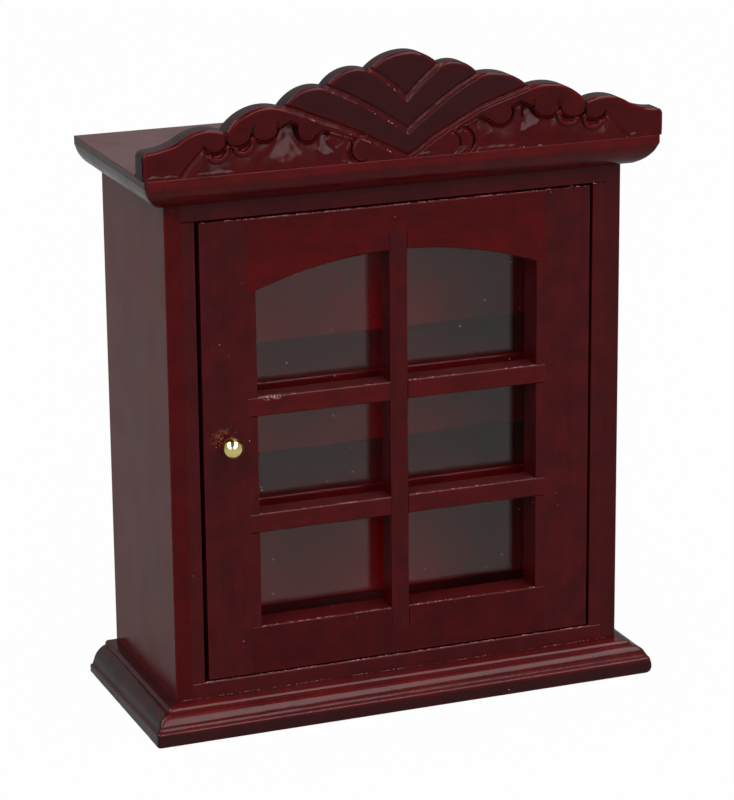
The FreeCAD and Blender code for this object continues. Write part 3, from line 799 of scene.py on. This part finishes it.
def makeMoulding(name, s):
    reaches = [s["side"], s["side"], s["front"], s["front"], s["side"], s["side"]]
    paths = [s["section"](reach, *cut) for reach, cut in zip(reaches, s["cuts"])]
    rubbed = paths[4]
    rubbed[:, 0] = np.minimum(rubbed[:, 0], np.interp(rubbed[:, 1], *np.array(s["worn"]).T))
    count = max(len(p) for p in paths)
    marks = np.linspace(0, 1, count)
    paths = [np.stack([np.interp(marks, np.linspace(0, 1, len(p)), row) for row in p.T], 1) for p in paths]
    corner = s["corner"]
    stations = []
    for hand, back, side, face in ((-1, *paths[:3]), (1, *paths[:2:-1])):
        reach = carcassFront - face[:, 0] + corner
        run = []
        for t in np.linspace(0, 1, sideSteps, endpoint=False):
            here = back + (side - back) * t
            x = hand * (carcassHalf + here[:, 0])
            run.append(np.stack([x, carcassBack + (reach - carcassBack) * t, here[:, 1]], 1))
        for angle in np.linspace(0, math.pi / 2, cornerSteps):
            x = hand * (carcassHalf + side[:, 0] - corner * (1 - math.cos(angle)))
            run.append(np.stack([x, reach - corner * math.sin(angle), face[:, 1]], 1))
        stations.append(run)
    left, right = stations
    across = [left[-1] + (right[-1] - left[-1]) * t for t in np.linspace(0, 1, frontSteps)[1:-1]]
    grid = np.array(left + across + right[::-1])
    sway = unevenness(grid.reshape(-1, 3) * (0.35, 0.35, 1.1), 1.0, 4 + len(name)).reshape(grid.shape[:2])
    outward = np.zeros_like(grid)
    flank = sideSteps + cornerSteps
    outward[:flank, :, 0], outward[-flank:, :, 0] = -1, 1
    outward[sideSteps:-sideSteps, :, 1] = -1
    keep = np.ones(count)
    keep[[0, 1, -1, -2]] = 0
    grid = grid - outward * (np.abs(sway) * keep)[..., None] * s["wave"] * 2
    total = len(grid)
    at = lambda station, k: station * count + k
    faces = [(at(i, k), at(i, k + 1), at(i + 1, k + 1), at(i + 1, k))
             for i in range(total - 1) for k in range(count - 1)]
    faces.append(tuple(at(i, 0) for i in range(total)))
    faces.append(tuple(at(i, count - 1) for i in range(total - 1, -1, -1)))
    ends = [at(0, k) for k in range(count - 1, -1, -1)] + [at(total - 1, k) for k in range(count)]
    faces.append(tuple(ends))
    none = np.zeros(total * count)
    height = grid[..., 2].ravel()
    # painted shade: darkens the base's foot and side faces and the cornice's top
    paintedShade = footShadeShare * ramp(s["darkBelow"], s["darkBelow"] - 0.25, height)
    station = np.arange(total)
    turnAt = sideSteps + cornerSteps // 2
    onSide = (station < turnAt) | (station >= total - turnAt)
    paintedShade = np.maximum(paintedShade, s["sideShadeShare"] * np.repeat(onSide, count))
    paintedShade = np.maximum(paintedShade, topShadeShare * (height > s["darkAbove"]))
    wear = np.tile(sectionWear(paths[2]), total)
    values = {"arris": wear, "hollow": none, "lobe": paintedShade, "sawnShade": none}
    piece = makePiece(name, grid.reshape(-1, 3), faces, s["finish"], 40, **values)
    dress(piece, "cabinet", "moulding_wood", s["node"])


makeMoulding("baseMoulding", baseLook)
makeMoulding("corniceMoulding", corniceLook)
print("mouldings made")


# Knob: spigot and collar square to the door, then a leaning neck and the ball

knobLook = {
    "place": (-26.23, -12.4, 43.91), "centre": (-26.73, -14.45, 43.56), "leanFrom": 0.3,
    "ball": 1.62, "neck": 0.55, "turns": 72, "ballRings": 34,
    "stem": [  # radius and reach
        (0.59, -2.98), (0.59, 0.0), (0.78, 0.0), (0.84, 0.06),
        (0.85, 0.14), (0.8, 0.25), (0.7, 0.34), (0.6, 0.4),
    ],
}


def makeKnob(s):
    turns, ball = s["turns"], s["ball"]
    place, centre = Vector(s["place"]), Vector(s["centre"])
    out = Vector((0, -1, 0))
    rings = [(place + out * reach, out, radius) for radius, reach in s["stem"]]
    axis = (centre - (place + out * s["leanFrom"])).normalized()
    start = math.asin(s["neck"] / ball)
    rings.append((centre - axis * (ball - 0.01), axis, s["neck"]))
    for a in np.linspace(start + 0.02, math.pi, s["ballRings"])[:-1]:
        rings.append((centre - axis * ball * math.cos(a), axis, ball * math.sin(a)))
    points = [tuple(rings[0][0])]
    angles = np.linspace(0, math.tau, turns, endpoint=False)
    for middle, along, radius in rings:
        across = Vector((1, 0, 0))
        across = (across - along * across.dot(along)).normalized()
        other = along.cross(across)
        points += [tuple(middle + (across * math.cos(a) + other * math.sin(a)) * radius) for a in angles]
    points.append(tuple(centre + axis * ball))
    at = lambda ring, k: 1 + ring * turns + k % turns
    end = len(rings) - 1
    faces = [(0, at(0, k), at(0, k + 1)) for k in range(turns)]
    faces += [(at(r, k), at(r + 1, k), at(r + 1, k + 1), at(r, k + 1))
              for r in range(end) for k in range(turns)]
    faces += [(len(points) - 1, at(end, k + 1), at(end, k)) for k in range(turns)]
    return makePiece("turnedKnob", points, faces, brassFinish, 45)


knobPiece = makeKnob(knobLook)
dress(knobPiece, "door", "knob_brass", "door_knob")
print("knob turned")


# Lacquer lumps along the edges and caught dust, grown on guide lines and guide faces

lumpLook = {
    "spacing": 0.17, "thick": 0.08, "stretch": 1.6, "stray": 0.055, "groups": 900.0, "seed": 5,
    "cabinet": [  # start, end, how much of the line is covered and how thickly
        ((-31, -12.36, 7.47), (31, -12.36, 7.47), 0.66, 1.0),
        ((-39.3, -16.74, 2.1), (39.3, -16.74, 2.5), 0.35, 0.7),
        ((-34.6, -12.38, 5.12), (34.6, -12.38, 5.12), 0.8, 0.75),
        ((2.0, -17.06, 84.46), (22.0, -17.06, 84.46), 0.42, 0.9),
        ((31.1, -12.36, 76.85), (33.0, -12.36, 76.85), 0.8, 1.2),
    ],
    "door": [
        ((start, y, z), (end, y, z), *share)
        for y, z, left, right in (
            (-12.33, 14.97, (0.62, 1.0), (0.55, 1.0)),
            (-12.36, 50.07, (0.45, 0.8), (0.5, 1.0)),
            (-12.36, 32.37, (0.5, 0.9), (0.55, 1.1)),
        )
        for start, end, share in ((-22, -1.4, left), (1.4, 22, right))
    ] + [((-30.1, -12.34, 76.6), (30.2, -12.34, 76.6), 0.68, 1.1)],
    "crestShare": 0.36, "crestDrop": 0.5, "crestSunk": 0.04, "crestFrom": 1.5, "crestEnd": 0.5,
    "crestStep": 6,
}
dustLook = {
    "perArea": 0.012, "size": 0.07, "seed": 11,
    "cabinet": [  # left, right, low, high and depth of each field
        (-35.2, 35.2, 5.2, 7.2, -12.41), (-35.2, -31.2, 8, 79, -12.41),
        (31.2, 35.2, 8, 79, -12.41), (-39.5, 39.5, 0.4, 1.6, -16.86),
    ],
    "door": [
        (-30, -22.3, 8.2, 76.3, -12.41), (22.3, 30.2, 8.2, 76.3, -12.41), (-22, 22, 8.2, 14.6, -12.41),
        (-22, 22, 70.2, 76.3, -12.41), (-21.8, -1.5, 15.2, 67.5, -7.91), (1.5, 21.8, 15.2, 67.5, -7.91),
    ],
}


def newGrowth(name, *numbers):
    inputs = {"Geometry": "Geometry", **dict.fromkeys(numbers, "Float"), "Seed": "Int", "Finish": "Material"}
    return newTree(name, "GeometryNodeTree", inputs, {"Geometry": "Geometry"})


def sizeBetween(tree, least, seed):
    return addNode(tree, "FunctionNodeRandomValue", {2: least, 3: 1.0, "Seed": seed}).outputs[1]


def roundBead(tree, radius):
    return addOut(tree, "GeometryNodeMeshUVSphere", {"Segments": 8, "Rings": 5, "Radius": radius})


def finishTree(tree, values, finish, out):
    shape = addOut(tree, "GeometryNodeInstanceOnPoints", values)
    shape = addOut(tree, "GeometryNodeRealizeInstances", {0: shape})
    shape = addOut(tree, "GeometryNodeSetShadeSmooth", {"Geometry": shape})
    shape = addOut(tree, "GeometryNodeSetMaterial", {"Geometry": shape, "Material": finish})
    tree.links.new(shape, out[0])


def makeLumpTree():
    tree, put, out = newGrowth("lacquerLumps", "Spacing", "Thickness", "Stretch", "Stray", "Groups")
    line = addOut(tree, "GeometryNodeMeshToCurve", {0: put["Geometry"]})
    values = {"Curve": line, "Length": put["Spacing"]}
    line = addOut(tree, "GeometryNodeResampleCurve", values, mode="LENGTH")
    reach = [{0: (side, side, side), "Scale": put["Stray"]} for side in (-1, 1)]
    least, most = (addOut(tree, "ShaderNodeVectorMath", v, operation="SCALE") for v in reach)
    values = {0: least, 1: most, "Seed": put["Seed"]}
    stray = addOut(tree, "FunctionNodeRandomValue", values, data_type="FLOAT_VECTOR")
    line = addOut(tree, "GeometryNodeSetPosition", {"Geometry": line, "Offset": stray})
    named = ({"Name": key} for key in ("covered", "girth"))
    covered, girth = (addOut(tree, "GeometryNodeInputNamedAttribute", values) for values in named)
    clumps = noiseAt(tree, addOut(tree, "GeometryNodeInputPosition"), put["Groups"])
    kept = calc(tree, "LESS_THAN", remap(tree, clumps, 0.25, 0.75), covered)
    size = sizeBetween(tree, 0.35, put["Seed"])
    thick = calc(tree, "MULTIPLY", calc(tree, "MULTIPLY", size, girth), put["Thickness"])
    drawn = calc(tree, "MULTIPLY", thick, put["Stretch"])
    scale = addOut(tree, "ShaderNodeCombineXYZ", {0: drawn, 1: thick, 2: thick})
    along = addOut(tree, "GeometryNodeInputTangent")
    turned = addOut(tree, "FunctionNodeAlignRotationToVector", {"Vector": along}, axis="X")
    values = {"Points": line, "Selection": kept, "Instance": roundBead(tree, 1.0)}
    finishTree(tree, {**values, "Rotation": turned, "Scale": scale}, put["Finish"], out)
    return tree


def makeDustTree():
    tree, put, out = newGrowth("caughtDust", "Density", "Size")
    values = {"Mesh": put["Geometry"], "Density": put["Density"], "Seed": put["Seed"]}
    spots = addOut(tree, "GeometryNodeDistributePointsOnFaces", values)
    size = sizeBetween(tree, 0.3, put["Seed"])
    values = {"Points": spots, "Instance": roundBead(tree, put["Size"]), "Scale": size}
    finishTree(tree, values, put["Finish"], out)
    return tree


def growOn(name, guide, tree, values):
    holder = addObject(name + "Guide", guide)
    grown = holder.modifiers.new("grown", "NODES")
    grown.node_group = tree
    for item in tree.interface.items_tree:
        if item.in_out == "INPUT" and item.name in values:
            grown[item.identifier] = values[item.name]
    ready = holder.evaluated_get(bpy.context.evaluated_depsgraph_get())
    mesh = bpy.data.meshes.new_from_object(ready)
    bpy.data.objects.remove(holder)
    bpy.data.meshes.remove(guide)
    return addObject(name, mesh)


def makeLumps(name, lines, tree, s):
    guide = bpy.data.meshes.new(name + "Line")
    ends = [[v * mm for v in point] for line in lines for point in line[:2]]
    guide.from_pydata(ends, [(k, k + 1) for k in range(0, len(ends), 2)], [])
    for key, column in (("covered", 2), ("girth", 3)):
        values = [line[column] for line in lines for _ in range(2)]
        guide.attributes.new(key, "FLOAT", "POINT").data.foreach_set("value", values)
    values = {"Spacing": s["spacing"] * mm, "Thickness": s["thick"] * mm, "Stray": s["stray"] * mm}
    values.update({"Stretch": s["stretch"], "Groups": s["groups"], "Seed": s["seed"], "Finish": runFinish})
    return growOn(name, guide, tree, values)


def crestLines(s):
    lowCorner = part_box("crest_board")[0]
    front, foot = lowCorner[1] / mm + s["crestSunk"], lowCorner[2] / mm
    lines, behind = [], 0.0
    for notch, start, step in crestLook["veins"]:
        arm = veinArm(notch, start, crestLook)
        arm = arm[(arm[:, 0] > s["crestFrom"]) & (arm[:, 0] < notch[0] - s["crestEnd"])][::s["crestStep"]]
        x, h = skewed(-arm[:, 0], crestLook), arm[:, 1] - s["crestDrop"]
        points = [(px, front + behind, foot + ph) for px, ph in zip(x, h)]
        lines += [(a, b, s["crestShare"], 1.0) for a, b in zip(points, points[1:])]
        behind += step
    return lines


def makeDustPiece(name, fields, tree, s):
    guide = bpy.data.meshes.new(name + "Field")
    corners = []
    for ax, bx, az, bz, y in fields:
        corners += [[v * mm for v in c] for c in ((ax, y, az), (bx, y, az), (bx, y, bz), (ax, y, bz))]
    guide.from_pydata(corners, [], [(k, k + 1, k + 2, k + 3) for k in range(0, len(corners), 4)])
    values = {"Density": s["perArea"] / mm ** 2, "Size": s["size"] * mm}
    return growOn(name, guide, tree, {**values, "Seed": s["seed"], "Finish": dustFinish})


lumpTree, dustTree = makeLumpTree(), makeDustTree()
for body, slot in (("cabinet", "carcass_wood"), ("door", "door_wood")):
    lines = lumpLook[body] + (crestLines(lumpLook) if body == "cabinet" else [])
    lumps = makeLumps(body + "Lumps", lines, lumpTree, lumpLook)
    dress(lumps, body, slot)
    specks = makeDustPiece(body + "Dust", dustLook[body], dustTree, dustLook)
    dress(specks, body, slot)
    print(body, "lumps", len(lumps.data.polygons), "faces, dust", len(specks.data.polygons), "faces")


# Stage: floor, soft boxes and a white surround

stageLook = {
    "floor": 3.0, "floorTone": 0.2, "cameraWhite": 0.985, "mirrorWhite": 0.2,
    "fill": 0.2, "horizon": 0.4, "overhead": 0.12, "fade": (0.3, 0.75),
    "facing": (-21.3, 61.4), "away": 0.75, "aim": (0, 0, 0.045),  # both boxes hang in one leaning plane
    "boxes": {  # across, up, wide, tall, watts
        "leftBox": (-0.54, 0.2, 0.6, 2.2, 17.4), "rightBox": (0.55, 0.2, 0.66, 2.2, 19.2),
    },
}
white = (1, 1, 1, 1)


def rayTree(owner):  # a cleared tree, its mirror rays and its direct rays
    owner.use_nodes = True
    tree = owner.node_tree
    tree.nodes.clear()
    path = addNode(tree, "ShaderNodeLightPath").outputs
    seen = calc(tree, "MAXIMUM", path["Is Camera Ray"], path["Is Transmission Ray"])
    return tree, path["Is Glossy Ray"], seen


def mixShader(tree, share, below, above):
    return addOut(tree, "ShaderNodeMixShader", {0: share, 1: below, 2: above})


def makeStage(s):
    size = s["floor"]
    mesh = bpy.data.meshes.new("studioFloor")
    corners = [(-size, -size, 0), (size, -size, 0), (size, size, 0), (-size, size, 0)]
    mesh.from_pydata(corners, [], [(0, 1, 2, 3)])
    floor = addObject("studioFloor", mesh)
    mat = bpy.data.materials.new("paleFloor")
    tree, mirrored, seen = rayTree(mat)
    paper = addOut(tree, "ShaderNodeBsdfDiffuse", {"Color": (s["floorTone"],) * 3 + (1,)})
    glow = addOut(tree, "ShaderNodeEmission", {"Color": white, "Strength": 1.0})
    seen = calc(tree, "MULTIPLY", seen, s["cameraWhite"])
    mirrored = calc(tree, "MULTIPLY", mirrored, s["mirrorWhite"])
    surface = mixShader(tree, calc(tree, "MAXIMUM", seen, mirrored), paper, glow)
    addNode(tree, "ShaderNodeOutputMaterial", {"Surface": surface})
    mesh.materials.append(mat)

    world = bpy.data.worlds.new("whiteSurround")
    bpy.context.scene.world = world
    tree, mirrored, seen = rayTree(world)
    rise = onAxis(tree, coordinate(tree, "Generated"), 2)
    level = remap(tree, rise, *s["fade"], s["horizon"], s["overhead"])
    fill, mirror, bright = (
        addOut(tree, "ShaderNodeBackground", {"Color": white, "Strength": strength})
        for strength in (s["fill"], level, 1.0)
    )
    surface = mixShader(tree, seen, mixShader(tree, mirrored, fill, mirror), bright)
    addNode(tree, "ShaderNodeOutputWorld", {"Surface": surface})

    level, upward, toward = lookFrom(*s["facing"])
    middle = Vector(s["aim"]) + toward * s["away"]
    turned = Matrix((level, upward, toward)).transposed().to_4x4()
    for name, (across, up, wide, tall, power) in s["boxes"].items():
        lamp = bpy.data.lights.new(name, "AREA")
        lamp.shape = "RECTANGLE"
        lamp.size, lamp.size_y, lamp.energy = wide, tall, power
        box = addObject(name, lamp)
        box.matrix_world = Matrix.Translation(middle + level * across + upward * up) @ turned


makeStage(stageLook)
print("stage lit")
